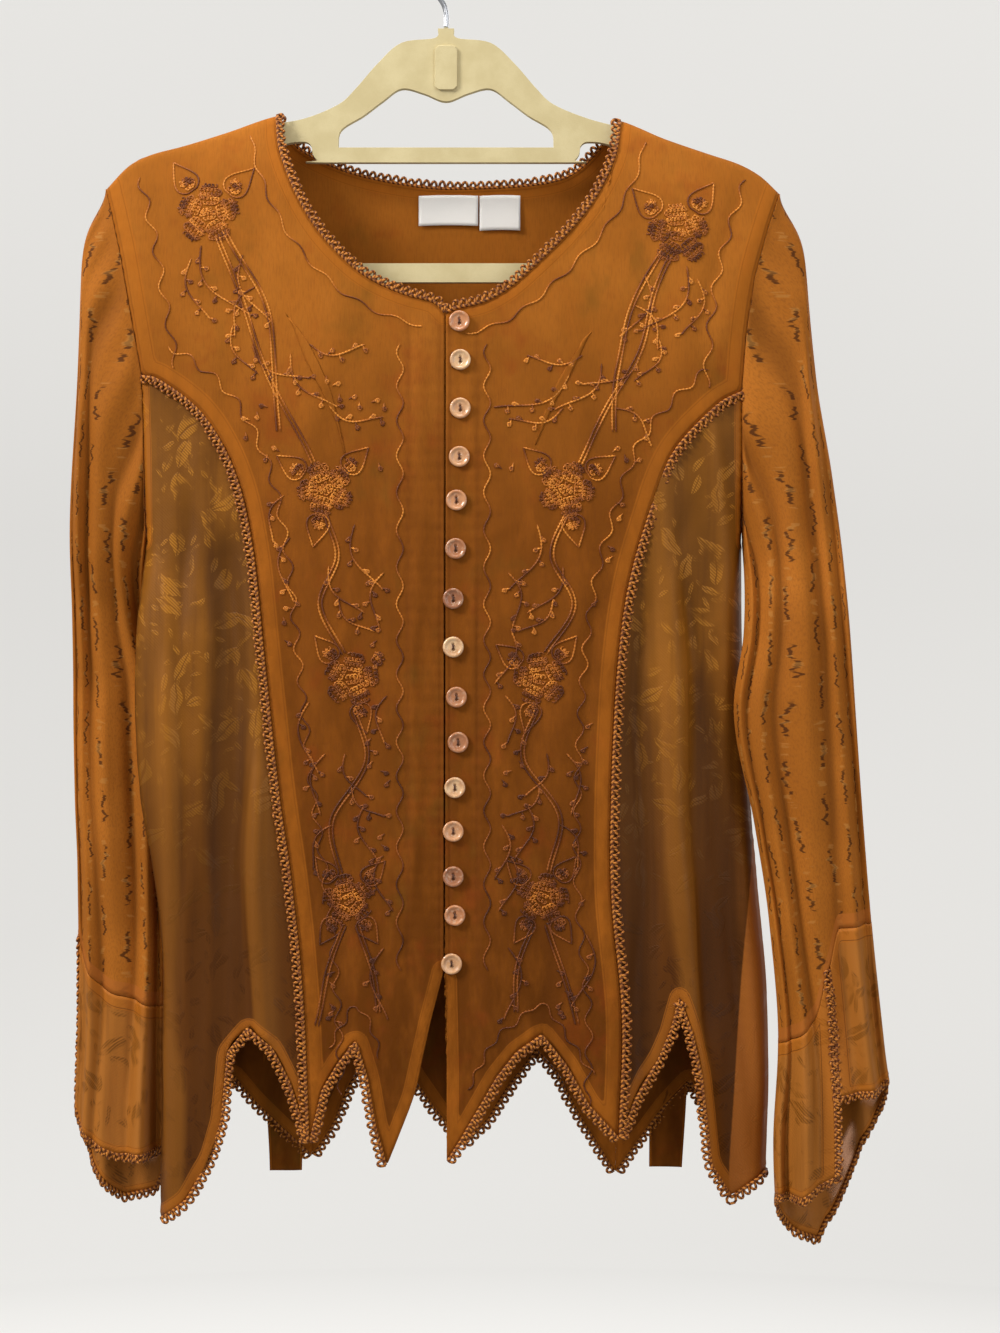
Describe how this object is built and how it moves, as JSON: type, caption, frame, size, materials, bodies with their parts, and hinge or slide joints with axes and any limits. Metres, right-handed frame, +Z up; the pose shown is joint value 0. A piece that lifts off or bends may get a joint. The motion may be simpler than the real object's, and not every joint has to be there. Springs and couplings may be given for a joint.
{
  "type": "peasant blouse on a hanger",
  "caption": "Embroidered long-sleeved peasant blouse with princess seams, picot braid and pointed hem, hung on a velvet hanger.",
  "frame": {"origin": "inner top of the hanger's hook, where a rail carries it", "axes": "+Z up, the blouse faces -Y, +X is to the right as seen from the front"},
  "size_m": [0.5174, 0.0725, 0.8284],
  "materials": {
    "rayon": "plain woven rayon, washed copper brown, soft",
    "figured_rayon": "leaf-figured satin rayon, olive brown, low sheen",
    "sheer": "sheer georgette with broken dark streaks",
    "braid": "twisted two-tone picot braid",
    "shell": "pearly shell, uneven cream to brown",
    "label": "bare white satin ribbon",
    "velvet": "cream flock over moulded plastic",
    "steel": "bright wire"
  },
  "bodies": {
    "root": {"front_left": "rayon", "front_right": "rayon", "back_centre": "rayon", "side_back_left": "rayon", "side_back_right": "rayon", "tie_left": "rayon", "tie_right": "rayon", "side_front_left": "figured_rayon", "side_front_right": "figured_rayon", "cuff_left": "figured_rayon", "cuff_right": "figured_rayon", "sleeve_left": "sheer", "sleeve_right": "sheer", "cuff_trim_left": "braid", "cuff_trim_right": "braid", "princess_trim_left": "braid", "princess_trim_right": "braid", "neck_trim_left": "braid", "neck_trim_right": "braid", "neck_trim_back": "braid", "hem_trim_side_left": "braid", "hem_trim_front_left": "braid", "hem_trim_front_right": "braid", "hem_trim_side_right": "braid", "hem_trim_back_left": "braid", "hem_trim_back": "braid", "hem_trim_back_right": "braid", "button_1": "shell", "button_2": "shell", "button_3": "shell", "button_4": "shell", "button_5": "shell", "button_6": "shell", "button_7": "shell", "button_8": "shell", "button_9": "shell", "button_10": "shell", "button_11": "shell", "button_12": "shell", "button_13": "shell", "button_14": "shell", "button_15": "shell", "label_main": "label", "label_side": "label", "hanger": "velvet", "hanger_tab": "velvet", "hook": "steel"}
  },
  "joints": []
}
